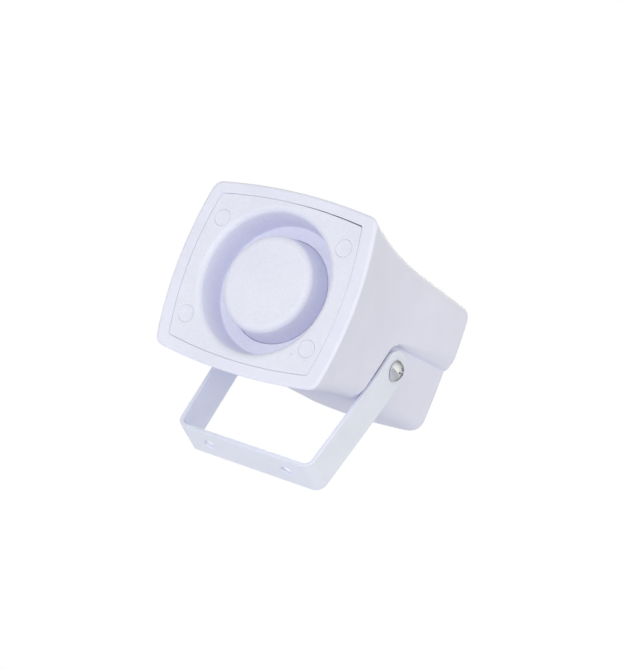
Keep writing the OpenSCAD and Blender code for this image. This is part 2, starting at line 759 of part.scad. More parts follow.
// Transformer at (x, z): a laminated frame with a wound coil on its middle limb
trafo_x = -8;
trafo_z = board_z + 4;
trafo_w = 18;
trafo_h = 12;
trafo_len = 15;
stack_h = 7.2;
limb = 2.6;
window_w = (trafo_w - 4 * limb) / 2;
window_len = trafo_len - 2 * limb;
module transformer_core() {
    color("dimgray") in_siren() difference() {
        on_board(trafo_x, trafo_z, trafo_w, stack_h, trafo_len);
        for (side = [-1, 1])
            translate([trafo_x + side * (limb + window_w / 2), board_front - trafo_len / 2, trafo_z])
                cube([window_w, window_len, stack_h + 2 * cut], center = true);
    }
}

module transformer_coil() {
    wire_gap = 0.1;
    color("darkorange") in_siren() translate([trafo_x, board_front - trafo_len / 2, trafo_z])
        difference() {
            cube([2 * (limb + window_w - wire_gap), window_len - 2 * wire_gap, trafo_h], center = true);
            cube([2 * (limb + wire_gap), trafo_len, stack_h + 2 * wire_gap], center = true);
        }
}

module power_transistor() {
    x = 13;
    z = board_z - 6;
    color("#28282c") in_siren() {
        on_board(x, z, 10, 4.4, 12);
        translate([x - 5, board_front - 18, z + 0.9]) difference() {
            cube([10, 6.2, 1.3]);
            translate([5, 2.8, -cut]) cylinder(h = 4, r = 1.8);
        }
    }
}

module capacitor() {
    color("navy") in_siren() translate([12, 0, board_z + 7]) along_y(board_front - 11)
        cylinder(h = 11, r = 4);
}

module control_chip() {
    color("#202024") in_siren() {
        on_board(-8, board_z - 9, 9.6, 6.4, 3.6);
        for (i = [0 : 3], side = [-1, 1])
            on_board(-8 + (i - 1.5) * 2.54, board_z - 9 + side * 3.6, 0.6, 0.9, 2);
    }
}

module resistors() {
    color("burlywood") in_siren() for (i = [0 : 2]) translate([2.6, board_front - 1.6, board_z - 8 + i * 3.4])
        rotate([0, 90, 0]) {
            cylinder(h = 5, r = 1.1, center = true);
            cylinder(h = 8, r = 0.3, center = true);
            for (side = [-1, 1]) translate([0, 0, side * 4 - 0.3]) translate([-0.3, 0, 0])
                cube([0.6, 1.6, 0.6]);
        }
}

// Two-way screw terminal for the supply, at the bottom of the board
term_x = 2;
term_z = board_z - 14.5;
term_w = 10;
term_h = 7;
term_len = 8;
module terminal_block() {
    color("seagreen") in_siren() difference() {
        on_board(term_x, term_z, term_w, term_h, term_len);
        for (side = [-1, 1]) {
            bar_y(term_x + side * term_w / 4, term_z + 0.5, board_front - term_len - cut, 4 + cut, 1.6);
            translate([term_x + side * term_w / 4, board_front - 2.4, term_z - term_h / 2 - cut])
                cylinder(h = 4 + cut, r = 1.2);
        }
    }
}

module terminal_screws() {
    color("silver") in_siren() for (side = [-1, 1]) difference() {
        bar_y(term_x + side * term_w / 4, term_z + 0.5, board_front - term_len + 1, 3, 1.5);
        translate([term_x + side * term_w / 4 - 2, board_front - term_len, term_z + 0.25])
            cube([4, 1.5, 0.5]);
    }
}

module cable_grommet() {
    lip_r = outlet_r + grommet_lip;
    neck_r = outlet_r - 0.05;
    color("#303034") in_siren() translate([0, 0, outlet_z]) along_y(0) rotate_extrude() polygon([
        [cable_bore_r, rear_y - grommet_lip_t], [lip_r - 0.4, rear_y - grommet_lip_t],
        [lip_r, rear_y - 0.05], [neck_r, rear_y - 0.05], [neck_r, body_d + 0.05], [lip_r, body_d + 0.05],
        [lip_r - 0.4, body_d + grommet_lip_t], [cable_bore_r, body_d + grommet_lip_t]]);
}

bracket();
housing();
face_gasket();
face_plate();
face_screws();
screw_caps();
centre_plug();
throat_cup();
driver_gasket();
driver_frame();
surround();
diaphragm();
voice_coil();
top_pole_plate();
ring_magnet();
back_pole_plate();
driver_screws();
driver_terminals();
driver_leads();
friction_washers();
pivot_inserts();
pivot_screw_left();
pivot_screw_right();
circuit_board();
board_screws();
transformer_core();
transformer_coil();
power_transistor();
capacitor();
control_chip();
resistors();
terminal_block();
terminal_screws();
cable_grommet();
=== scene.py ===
"""Alarm siren in its steel bracket: smooth meshes, materials, studio light and camera for the CAD model.

Shapes are drawn in millimetres, in the siren's own frame (origin on the face, +Y to the rear, +Z up) or
in the bracket's frame (origin in the middle of the base's underside), and are turned into metres once.
"""

import json
import math

import bmesh
import bpy
from mathutils import Matrix, Vector


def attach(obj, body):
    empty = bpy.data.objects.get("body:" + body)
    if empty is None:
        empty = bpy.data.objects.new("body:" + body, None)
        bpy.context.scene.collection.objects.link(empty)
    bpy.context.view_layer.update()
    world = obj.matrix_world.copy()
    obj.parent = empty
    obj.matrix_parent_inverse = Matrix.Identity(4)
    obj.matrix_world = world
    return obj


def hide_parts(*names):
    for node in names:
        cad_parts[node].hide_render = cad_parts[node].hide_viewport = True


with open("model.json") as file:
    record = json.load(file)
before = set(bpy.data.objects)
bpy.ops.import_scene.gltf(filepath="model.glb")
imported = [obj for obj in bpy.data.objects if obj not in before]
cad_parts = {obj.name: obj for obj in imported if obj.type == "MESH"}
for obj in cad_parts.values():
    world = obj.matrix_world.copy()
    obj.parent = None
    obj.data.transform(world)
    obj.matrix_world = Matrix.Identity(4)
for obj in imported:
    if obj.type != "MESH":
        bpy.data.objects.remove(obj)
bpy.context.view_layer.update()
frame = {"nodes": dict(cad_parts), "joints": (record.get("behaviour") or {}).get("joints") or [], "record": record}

# ---------------------------------------------------------------- sizes of the design, in millimetres

FACE_W, FACE_H = 76.6, 67.2
FACE_BOW_X, FACE_BOW_Z = 3.6, 2.7
FACE_CORNER_R = 4.0
RIM_X, RIM_Z = 5.2, 4.35
RIM_ROUND = 1.1
PLATE_T = 2.6
PLATE_HALF_W, PLATE_HALF_H = FACE_W / 2 - RIM_X, FACE_H / 2 - RIM_Z
PLATE_BOW_X, PLATE_BOW_Z = FACE_BOW_X - 0.5, FACE_BOW_Z - 0.25
PLATE_CORNER_R = 0.9
PLATE_GAP, OPENING_EXTRA = 0.07, 0.32
FRONT_CHAMFER = 0.12
LEDGE_LAP, LEDGE_Y, LEDGE_END = 3.0, 3.2, 5.2

BODY_D, BODY_W, LOWER_W = 96.0, 64.8, 59.4
BODY_TOP, BODY_BOTTOM = 28.0, 26.4
BODY_BOW, BODY_CORNER_R = 1.5, 7.0
FLARE_D, FLARE_POWER = 59.0, 2.3
SIDE_DRAFT = 0.021
REAR_R = 2.7
WALL = 2.2

RECESS_R, RECESS_FLOOR_R, RECESS_D, RECESS_WALL = 26.0, 24.0, 11.4, 1.8
RECESS_LIP = 2.0
FLOOR_END = RECESS_D + RECESS_WALL
PLUG_R, PLUG_TOP_R, PLUG_EDGE_R, PLUG_SETBACK, PLUG_WALL = 19.1, 17.9, 2.8, 1.4, 1.8
PLUG_END = FLOOR_END + 1.5
SLOT_W = 0.17
CAP_R, CAP_T, CAP_GAP = 3.1, 1.2, 0.05
CAP_X = PLATE_HALF_W - PLATE_BOW_X - 3.85
CAP_Z = PLATE_HALF_H - PLATE_BOW_Z - 8.6
FACE_BOSS_R, FACE_BOSS_BORE_R, FACE_BOSS_START, FACE_BOSS_END = 3.8, 1.5, 4.6, 18.0

STRIP_W, STRIP_T, BEND_R = 14.6, 1.5, 4.0
BASE_HALF_W = 29.6
EAR_R = STRIP_W / 2
EAR_PROUD = 1.1
MOUNT_SPACING, MOUNT_HOLE_R = 34.6, 2.25

PIVOT_H = 1000 * frame["joints"][0]["pos_m"][2]
PIVOT_Y, PIVOT_DROP, TILT = 50.3, 10.3, math.radians(23.75)
# The pocket's front wall stands off the leg by the ease as well, so that smooth edges clear it when tilted
POCKET_GAP, POCKET_EASE = 1.0, 0.15
POCKET_CORNER_R, POCKET_RISE = 5.0, 2.9
POCKET_TOP = -PIVOT_DROP + EAR_R + POCKET_GAP
POCKET_FRONT = EAR_R + POCKET_GAP + POCKET_EASE
POCKET_CORNER_Y = PIVOT_Y - POCKET_FRONT / math.cos(TILT) + (POCKET_TOP + PIVOT_DROP) * math.tan(TILT)
CORNER_RUN = POCKET_CORNER_R / math.tan(
    (math.pi / 2 + TILT + math.atan(POCKET_RISE / (BODY_D - POCKET_CORNER_Y))) / 2
)
CORNER_DROP = CORNER_RUN * math.cos(TILT)
SWING_REACH, SWING_TOP = 3 * POCKET_CORNER_R, BODY_TOP - 4
SHELF_RISE_FRONT, SHELF_RISE_REAR, SHELF_LIP = 1.2, 7.5, 1.1
SHELF_BEVEL_SHARE = 0.74
STEP_ROUND, STEP_FILLET, STEP_REACH = 0.55, 0.35, 1.5
PAD_PROUD, PAD_T, FIT_GAP = 0.35, 1.6, 0.05
PAD_R, WASHER_R, SCREW_R, HEAD_R, HEAD_T = 6.4, 6.0, 2.0, 4.0, 3.0
SCREW_LEN, INSERT_LEN, INSERT_R, INSERT_BOSS_R = 11.0, 8.0, 3.0, 5.0

OUTLET_R, OUTLET_Z, CABLE_BORE_R = 4.5, 9.1 - BODY_BOTTOM, 2.6
BOARD_X, BOARD_Z, BOARD_MID_Z = 18.5, 16.0, 4.5
BOARD_POST_R, BOARD_POST_BORE_R, BOARD_POST_LEN = 3.0, 1.25, 11.8

MM = 0.001
ALONG_Y = Matrix.Rotation(math.radians(-90), 4, "X")
TO_ROW = Matrix.Scale(MM, 4)
SIREN = (
    TO_ROW
    @ Matrix.Translation((0, 0, PIVOT_H))
    @ Matrix.Rotation(TILT, 4, "X")
    @ Matrix.Translation((0, -PIVOT_Y, PIVOT_DROP))
)


def tilt_axis(side, x):
    """Frame whose +Z points out of one side of the siren along the tilt axis, at distance x."""
    turn = Matrix.Rotation(side * math.radians(90), 4, "Y")
    return SIREN @ Matrix.Translation((0, PIVOT_Y, -PIVOT_DROP)) @ turn @ Matrix.Translation((0, 0, x))


# ---------------------------------------------------------------- mesh helpers


def steps(first, last, count):
    """count + 1 evenly spaced values from first to last."""
    return [first + (last - first) * i / count for i in range(count + 1)]


def arc(cx, cy, r, start, end, count):
    """Points of an arc from angle start to end, in degrees."""
    turns = [math.radians(a) for a in steps(start, end, count)]
    return [(cx + r * math.cos(a), cy + r * math.sin(a)) for a in turns]


def loft_mesh(rings, closed):
    """Vertices and quads over a row of rings with equal counts. Closed joins the last ring to the first."""
    n, rows = len(rings[0]), len(rings)
    verts = [p for r in rings for p in r]
    faces = []
    for i in range(rows if closed else rows - 1):
        a, b = i * n, (i + 1) % rows * n
        faces += [(a + j, a + (j + 1) % n, b + (j + 1) % n, b + j) for j in range(n)]
    return verts, faces


def lathe_mesh(profile, segments=96):
    """Solid of revolution about +Z from (radius, height) points that close on themselves or on the axis."""
    turns = [math.tau * k / segments for k in range(segments)]
    rings = [[(r * math.cos(a), r * math.sin(a), z) for a in turns] for r, z in profile]
    return loft_mesh(rings, closed=all(r > 0 for r, _ in (profile[0], profile[-1])))


def build(name, parts, flat_angle=32):
    """Object from (vertices, faces, matrix) parts in the row frame, in metres, with smooth shading."""
    mesh_data = bmesh.new()
    for verts, faces, matrix in parts:
        made = [mesh_data.verts.new(matrix @ Vector(v)) for v in verts]
        for face in faces:
            mesh_data.faces.new([made[i] for i in face])
    bmesh.ops.remove_doubles(mesh_data, verts=mesh_data.verts, dist=0.002 * MM)
    bmesh.ops.dissolve_degenerate(mesh_data, edges=mesh_data.edges, dist=0.002 * MM)
    bmesh.ops.recalc_face_normals(mesh_data, faces=mesh_data.faces)
    mesh = bpy.data.meshes.new(name)
    mesh_data.to_mesh(mesh)
    mesh_data.free()
    obj = bpy.data.objects.new(name, mesh)
    bpy.context.scene.collection.objects.link(obj)
    smooth(obj, flat_angle)
    return obj


def smooth(obj, flat_angle=32):
    obj.data.shade_smooth()
    obj.data.set_sharp_from_angle(angle=math.radians(flat_angle))


def settle(obj):
    """Applies every modifier of obj to its mesh."""
    graph = bpy.context.evaluated_depsgraph_get()
    mesh = bpy.data.meshes.new_from_object(obj.evaluated_get(graph))
    obj.modifiers.clear()
    obj.data = mesh


def carve(obj, cutter):
    """Cuts cutter out of obj and removes it."""
    modifier = obj.modifiers.new("cut", "BOOLEAN")
    modifier.operation, modifier.solver, modifier.object = "DIFFERENCE", "EXACT", cutter
    settle(obj)
    bpy.data.objects.remove(cutter)


def soften_edges(obj, width, segments, angle=40):
    """Rounds every edge sharper than angle by width millimetres."""
    modifier = obj.modifiers.new("edges", "BEVEL")
    modifier.limit_method, modifier.angle_limit = "ANGLE", math.radians(angle)
    modifier.width, modifier.segments = width * MM, segments
    modifier.harden_normals = True
    settle(obj)


def even_shading(obj):
    """Face-weighted normals, so that large flat faces stay flat beside small rounded edges."""
    modifier = obj.modifiers.new("normals", "WEIGHTED_NORMAL")
    modifier.keep_sharp, modifier.weight = True, 60
    settle(obj)


# ---------------------------------------------------------------- materials


class Look:
    """A procedural material: a Principled shader driven by patterns in the object's own space."""

    def __init__(self, name, roughness=0.5, metallic=0.0, specular=0.5):
        self.material = bpy.data.materials.new(name)
        self.material.use_nodes = True
        self.tree = self.material.node_tree
        self.shader = self.tree.nodes["Principled BSDF"]
        self.shader.inputs["Roughness"].default_value = roughness
        self.shader.inputs["Metallic"].default_value = metallic
        self.shader.inputs["Specular IOR Level"].default_value = specular
        self.place = self.node("ShaderNodeTexCoord").outputs["Object"]
        self.height = None

    def node(self, kind, **settings):
        made = self.tree.nodes.new(kind)
        for key, value in settings.items():
            setattr(made, key, value)
        return made

    def link(self, source, target):
        self.tree.links.new(source, target)

    def noise(self, size_mm, detail=3.0, roughness=0.55, stretch=None):
        """Noise whose features are about size_mm across, stretched along the axes by stretch."""
        place = self.place
        if stretch:
            mapping = self.node("ShaderNodeMapping")
            mapping.inputs["Scale"].default_value = stretch
            self.link(place, mapping.inputs["Vector"])
            place = mapping.outputs["Vector"]
        texture = self.node("ShaderNodeTexNoise")
        texture.inputs["Scale"].default_value = 1 / (size_mm * MM)
        texture.inputs["Detail"].default_value = detail
        texture.inputs["Roughness"].default_value = roughness
        self.link(place, texture.inputs["Vector"])
        return texture.outputs["Fac"]

    def bands(self, pitch_mm, direction="X", distortion=0.0):
        """Regular ridges with one every pitch_mm along an axis of the object."""
        texture = self.node("ShaderNodeTexWave", wave_type="BANDS", bands_direction=direction)
        texture.inputs["Scale"].default_value = math.tau / (20 * pitch_mm * MM)
        texture.inputs["Distortion"].default_value = distortion
        self.link(self.place, texture.inputs["Vector"])
        return texture.outputs["Fac"]

    def cells(self, size_mm):
        """Cell pattern that is lowest in the middle of each cell."""
        texture = self.node("ShaderNodeTexVoronoi")
        texture.inputs["Scale"].default_value = 1 / (size_mm * MM)
        self.link(self.place, texture.inputs["Vector"])
        return texture.outputs["Distance"]

    def ramp(self, value, *stops):
        """Colours at positions along value."""
        ramp = self.node("ShaderNodeValToRGB")
        elements = ramp.color_ramp.elements
        while len(elements) < len(stops):
            elements.new(0.5)
        for element, (position, colour) in zip(elements, stops):
            element.position = position
            element.color = (*colour, 1)
        self.link(value, ramp.inputs["Fac"])
        return ramp.outputs["Color"]

    def spread(self, value, low, high):
        """Value from 0.3 to 0.7, where noise mostly lies, mapped to low to high."""
        scale = self.node("ShaderNodeMapRange")
        scale.inputs["From Min"].default_value, scale.inputs["From Max"].default_value = 0.3, 0.7
        scale.inputs["To Min"].default_value, scale.inputs["To Max"].default_value = low, high
        self.link(value, scale.inputs["Value"])
        return scale.outputs["Result"]

    def colour(self, source):
        self.link(source, self.shader.inputs["Base Color"])

    def mottle(self, value, colour, amount):
        """Base colour that varies about colour by amount either way."""
        dark = [c * (1 - amount) for c in colour]
        light = [min(1.0, c * (1 + amount)) for c in colour]
        self.colour(self.ramp(value, (0.3, dark), (0.7, light)))

    def rough(self, value, low, high):
        self.link(self.spread(value, low, high), self.shader.inputs["Roughness"])

    def bump(self, value, depth_mm, strength=1.0):
        """Adds a relief of depth_mm under the ones already added."""
        bump = self.node("ShaderNodeBump")
        bump.inputs["Strength"].default_value = strength
        bump.inputs["Distance"].default_value = depth_mm * MM
        self.link(value, bump.inputs["Height"])
        if self.height:
            self.link(self.height, bump.inputs["Normal"])
        self.height = bump.outputs["Normal"]
        self.link(self.height, self.shader.inputs["Normal"])

    def shade(self, base, value, amount):
        """The base colour, darker by up to amount where value is low."""
        mix = self.node("ShaderNodeMix", data_type="RGBA", blend_type="MULTIPLY")
        mix.inputs["Factor"].default_value = 1.0
        self.link(base, mix.inputs["A"])
        self.link(self.ramp(value, (0.3, (1 - amount,) * 3), (0.7, (1, 1, 1))), mix.inputs["B"])
        return mix.outputs["Result"]

    def specks(self, base, colour, spacing_mm, radius_mm):
        """Sparse round moulding specks of a colour, one in about each spacing, over the base colour."""
        near = self.node("ShaderNodeMath", operation="LESS_THAN")
        self.link(self.cells(spacing_mm), near.inputs[0])
        near.inputs[1].default_value = radius_mm / spacing_mm
        mix = self.node("ShaderNodeMix", data_type="RGBA")
        self.link(near.outputs[0], mix.inputs["Factor"])
        self.link(base, mix.inputs["A"])
        mix.inputs["B"].default_value = (*colour, 1)
        return mix.outputs["Result"]


def moulded(name, colour, grain_mm, grain_depth, grain_shade, roughness, speck=None):
    """Matt moulded ABS: cloudy colour, a fine spark-eroded grain and slight flow ripples."""
    look = Look(name, roughness, specular=0.35)
    cloud = look.noise(22, detail=2)
    dark = [c * 0.975 for c in colour]
    light = [min(1.0, c * 1.02) for c in colour]
    base = look.ramp(cloud, (0.3, dark), (0.7, light))
    grain = look.noise(grain_mm, detail=4, roughness=0.65)
    base = look.shade(base, grain, grain_shade)
    if speck:
        base = look.specks(base, (0.16, 0.16, 0.2), *speck)
    look.colour(base)
    look.rough(grain, roughness - 0.06, roughness + 0.1)
    look.bump(look.noise(9, detail=1), 0.05, 0.35)
    look.bump(grain, grain_depth, 0.8)
    return look.material


def painted_steel():
    """Satin white powder paint with its orange-peel skin."""
    look = Look("painted_steel", 0.38, specular=0.5)
    look.mottle(look.noise(14, detail=3), (0.765, 0.79, 0.965), 0.018)
    peel = look.noise(0.9, detail=2)
    look.rough(peel, 0.33, 0.46)
    look.bump(peel, 0.02, 0.6)
    look.bump(look.noise(5, detail=1), 0.05, 0.25)
    return look.material


def metal(name, colour, rough_low, rough_high, scratch_mm=0.35, depth=0.006):
    """Plated or bare metal with fine drawn scratches and a cloudy finish."""
    look = Look(name, rough_low, metallic=1.0)
    look.mottle(look.noise(3, detail=4), colour, 0.07)
    scratch = look.noise(scratch_mm, detail=4, stretch=(1, 6, 1))
    look.rough(scratch, rough_low, rough_high)
    look.bump(scratch, depth, 0.7)
    return look.material


def soft_plastic(name, colour, roughness, grain_mm=0.5, depth=0.02, amount=0.06):
    """Rubber, nylon, sleeve or epoxy with a fine even grain."""
    look = Look(name, roughness, specular=0.4)
    grain = look.noise(grain_mm, detail=3)
    look.mottle(look.noise(4, detail=3), colour, amount)
    look.rough(grain, roughness - 0.07, roughness + 0.08)
    look.bump(grain, depth, 0.7)
    return look.material


def foam():
    look = Look("foam", 0.95, specular=0.2)
    pores = look.cells(0.55)
    # Painted shade: each pore is coloured darker than the struts around it, darkest in its middle.
    look.colour(look.ramp(pores, (0.1, (0.02, 0.02, 0.022)), (0.6, (0.075, 0.075, 0.08))))
    look.bump(pores, 0.15, 0.9)
    return look.material


def cone_paper():
    """Pressed pulp with short fibres."""
    look = Look("cone_paper", 0.9, specular=0.2)
    fibre = look.noise(0.8, detail=6, roughness=0.7, stretch=(1, 0.3, 2))
    look.mottle(fibre, (0.11, 0.095, 0.08), 0.35)
    look.bump(fibre, 0.06, 0.8)
    return look.material


def copper_wire():
    """Enamelled wire wound side by side, with painted shade darkening the grooves between the turns."""
    look = Look("copper_wire", 0.25, metallic=1.0)
    turns = look.bands(0.32, "Z", 0.4)
    # Painted shade: the colour is dark in the grooves between the turns, where the bump is lowest.
    look.colour(look.ramp(turns, (0.1, (0.22, 0.07, 0.03)), (0.7, (0.72, 0.3, 0.13))))
    look.bump(turns, 0.12, 0.9)
    return look.material


def board_laminate():
    """Green solder mask over a glass weave, with fine copper runs showing through."""
    look = Look("board_laminate", 0.28, specular=0.5)
    weave = look.noise(0.7, detail=2, stretch=(1, 1, 0.4))
    runs = look.bands(2.54, "X", 1.5)
    look.colour(look.ramp(runs, (0.55, (0.008, 0.07, 0.028)), (0.75, (0.02, 0.15, 0.06))))
    look.rough(weave, 0.22, 0.4)
    look.bump(runs, 0.04, 0.6)
    return look.material


def lamination_steel():
    """Stacked steel sheets seen on edge."""
    look = Look("lamination_steel", 0.45, metallic=1.0)
    sheets = look.bands(0.5, "Z", 0.2)
    look.colour(look.ramp(sheets, (0.1, (0.08, 0.08, 0.09)), (0.6, (0.3, 0.3, 0.32))))
    look.bump(sheets, 0.08, 0.8)
    return look.material


def resistor_coat():
    """Tan lacquer with generic colour rings."""
    look = Look("resistor_coat", 0.35, specular=0.5)
    rings = look.bands(1.4, "X")
    stops = ((0.0, (0.25, 0.03, 0.02)), (0.12, (0.25, 0.03, 0.02)), (0.16, (0.5, 0.33, 0.17)))
    look.colour(look.ramp(rings, *stops))
    look.bump(look.noise(0.6), 0.02, 0.5)
    return look.material


PLASTIC = (0.775, 0.778, 0.985)
FACE_PLASTIC = (0.785, 0.793, 0.995)
LOOKS = {
    "painted_steel": painted_steel(),
    "housing_plastic": moulded("housing_plastic", PLASTIC, 0.7, 0.05, 0.025, 0.52),
    "face_plastic": moulded("face_plastic", FACE_PLASTIC, 0.85, 0.2, 0.07, 0.58, speck=(9.0, 0.2)),
    "foam": foam(),
    "zinc_steel": metal("zinc_steel", (0.6, 0.61, 0.62), 0.3, 0.5),
    "cone_paper": cone_paper(),
    "copper_wire": copper_wire(),
    "ferrite": soft_plastic("ferrite", (0.03, 0.03, 0.034), 0.75, 0.4, 0.05, 0.3),
    "tag_brass": metal("tag_brass", (0.62, 0.44, 0.17), 0.25, 0.45),
    "lead_insulation": soft_plastic("lead_insulation", (0.42, 0.018, 0.014), 0.4),
    "nylon": soft_plastic("nylon", (0.74, 0.74, 0.68), 0.5, 0.7),
    "bright_nickel": metal("bright_nickel", (0.6, 0.61, 0.69), 0.1, 0.24, 0.5, 0.012),
    "board_laminate": board_laminate(),
    "lamination_steel": lamination_steel(),
    "black_epoxy": soft_plastic("black_epoxy", (0.018, 0.018, 0.02), 0.5),
    "capacitor_sleeve": soft_plastic("capacitor_sleeve", (0.014, 0.02, 0.075), 0.3),
    "resistor_coat": resistor_coat(),
    "terminal_green": soft_plastic("terminal_green", (0.03, 0.27, 0.1), 0.45),
    "black_rubber": soft_plastic("black_rubber", (0.02, 0.02, 0.022), 0.62, 0.6, 0.03, 0.2),
}


def dress(obj, slot, body, *stands_for):
    """Gives a piece its material and the body it rides on, and hides the CAD nodes it stands for."""
    obj.data.materials.clear()
    obj.data.materials.append(LOOKS[slot])
    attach(obj, body)
    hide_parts(*stands_for)


def dress_cad_nodes():
    """Gives every CAD node that keeps its shape the procedural material of its slot."""
    for part in frame["record"]["subparts"]:
        obj = frame["nodes"][part["node"]]
        look = LOOKS[part["material_slot"]]
        if not obj.material_slots:
            obj.data.materials.append(look)
        for material_slot in obj.material_slots:
            material_slot.material = look


# ---------------------------------------------------------------- outlines


def outline(a, top, bottom, bow_a, bow_z, r, levels):
    """Ring of a bowed rectangle with rounded corners, as (x, z) points from the middle of the bottom, up the
    right side and back down the left. levels turns the side's lowest and highest z into a row of heights."""
    ca = a - bow_a

    def corner(half_h):
        cb = half_h - bow_z
        u, v = 1 - 0.8 * r / cb, 1 - 0.8 * r / ca
        ends = Vector((a - bow_a * u * u, cb * u)), Vector((ca * v, half_h - bow_z * v * v))
        bend = Vector((ca, cb))
        curve = [ends[0] * (1 - t) ** 2 + bend * 2 * t * (1 - t) + ends[1] * t * t for t in steps(0, 1, 10)]
        edge = [Vector((ca * v * t, half_h - bow_z * (v * t) ** 2)) for t in steps(1, 0, 10)]
        return curve, edge[1:]

    up_curve, up_edge = corner(top)
    down_curve, down_edge = corner(bottom)
    side = []
    for z in levels(-down_curve[0].y, up_curve[0].y):
        span = (top if z > 0 else bottom) - bow_z
        side.append((a - bow_a * (z / span) ** 2, z))
    lower = [(p.x, -p.y) for p in reversed(down_curve + down_edge)]
    upper = [(p.x, p.y) for p in up_curve + up_edge]
    half = lower[:-1] + side + upper[1:]
    return half + [(-x, z) for x, z in reversed(half[1:-1])]


def shelf_levels(shelf, rise):
    """Side heights that crowd where the pocket's top edge rounds over, between shelf and shelf + rise."""

    def levels(low, high):
        below = steps(low, shelf - CORNER_DROP, 8)[:-1]
        below += [shelf - CORNER_DROP * (1 - math.sin(math.radians(a))) for a in steps(0, 90, 8)[:-1]]
        rounding = [shelf + rise * (1 - math.cos(math.radians(a))) for a in steps(0, 90, 15)]
        above = steps(shelf + rise, high, 9)[1:]
        return below + rounding + above

    return levels


def plate_ring(grow):
    """Outline of the face plate, grown all round."""
    half_w, half_h = PLATE_HALF_W + grow, PLATE_HALF_H + grow
    corner_r = PLATE_CORNER_R + max(grow, -PLATE_CORNER_R / 2)
    levels = shelf_levels(POCKET_TOP, SHELF_RISE_FRONT)
    return outline(half_w, half_h, half_h, PLATE_BOW_X, PLATE_BOW_Z, corner_r, levels)


def round_ring(like, r, centre_z=0.0):
    """Circle with one point for each point of another ring, in the same directions from its centre."""
    turns = [math.atan2(z - centre_z, x) for x, z in like]
    return [(r * math.cos(a), centre_z + r * math.sin(a)) for a in turns]


def at_depth(ring, y):
    return [(x, y, z) for x, z in ring]


def clamp(value):
    return min(max(value, 0.0), 1.0)


# ---------------------------------------------------------------- housing


def flare(y):
    """1 at the rim, fading to 0 where the flare meets the body."""
    return (1 - max(y - RIM_ROUND, 0) / (FLARE_D - RIM_ROUND)) ** FLARE_POWER if y < FLARE_D else 0.0


def mix(body, face, y):
    return body + (face - body) * flare(y)


def upper_half_w(y):
    return mix(BODY_W / 2 - SIDE_DRAFT * y, FACE_W / 2, y)


def lower_half_w(y):
    return LOWER_W / 2 - SIDE_DRAFT * y


def ear_x():
    """Distance of the ears' outer faces from the middle."""
    return upper_half_w(PIVOT_Y) + EAR_PROUD


def pad_x():
    """Distance of the pivot pads' faces from the middle."""
    return lower_half_w(PIVOT_Y) + PAD_PROUD


def behind_corner(y):
    """0 at the pocket's front corner and 1 at the rear of the body."""
    return max(0.0, (y - POCKET_CORNER_Y) / (BODY_D - POCKET_CORNER_Y))


def shelf_rise(y):
    """Height over which the pocket's top edge rounds over; it grows towards the rear."""
    return SHELF_RISE_FRONT + (SHELF_RISE_REAR - SHELF_RISE_FRONT) * behind_corner(y)


def slant(u, z, shelf):
    """Depth of a point at height z on the station u. Stations near the pocket lean with its front wall and
    swing to the rear as they near its top edge, which rounds the corner between the two."""
    span = POCKET_CORNER_Y if u < POCKET_CORNER_Y else BODY_D - POCKET_CORNER_Y
    off = abs(u - POCKET_CORNER_Y)
    lean = 1 - max(off - STEP_REACH, 0.0) / (span - STEP_REACH)
    below = clamp((shelf - z) / CORNER_DROP)
    swing = CORNER_RUN * (1 - math.sqrt(1 - (1 - below) ** 2))
    swing *= 1 - clamp((z - shelf) / (SWING_TOP - shelf))
    near = clamp(1 - off / SWING_REACH)
    return u + min(z - shelf, 0.0) * math.tan(TILT) * max(lean, 0.0) + swing * near


def body_ring(u, pocket, inset=0.0, skin=0.0):
    """Ring of the housing at station u. pocket runs from 0 in front of the pocket's front wall to 1 behind
    it; inset rounds an edge, and skin is the distance in from the outer surface."""
    shelf = POCKET_TOP + POCKET_RISE * behind_corner(u) + skin

    def ring_at(y, half_w, bow_x):
        top, bottom = (mix(b, FACE_H / 2, y) - inset - skin for b in (BODY_TOP, BODY_BOTTOM))
        corner_r = max(mix(BODY_CORNER_R, FACE_CORNER_R, y) - inset / 2 - skin / 2, 1.0)
        return outline(half_w - inset - skin, top, bottom, bow_x, mix(BODY_BOW, FACE_BOW_Z, y), corner_r,
                       shelf_levels(shelf, shelf_rise(u)))

    points = []
    guess = ring_at(u, upper_half_w(u), mix(BODY_BOW / 2, FACE_BOW_X, u))
    for i, (_, z) in enumerate(guess):
        y = slant(u, z, shelf)
        wide = ring_at(y, upper_half_w(y), mix(BODY_BOW / 2, FACE_BOW_X, y))[i]
        narrow = ring_at(y, lower_half_w(y), BODY_BOW / 2)[i]
        bevel = (1 - clamp((wide[1] - shelf) / shelf_rise(u))) ** 2
        lip = 1 - math.sqrt(1 - (1 - clamp((wide[1] - shelf) / SHELF_LIP)) ** 2)
        share = pocket * (SHELF_BEVEL_SHARE * bevel + (1 - SHELF_BEVEL_SHARE) * lip)
        points.append((wide[0] + (narrow[0] - wide[0]) * share, y, wide[1]))
    return points


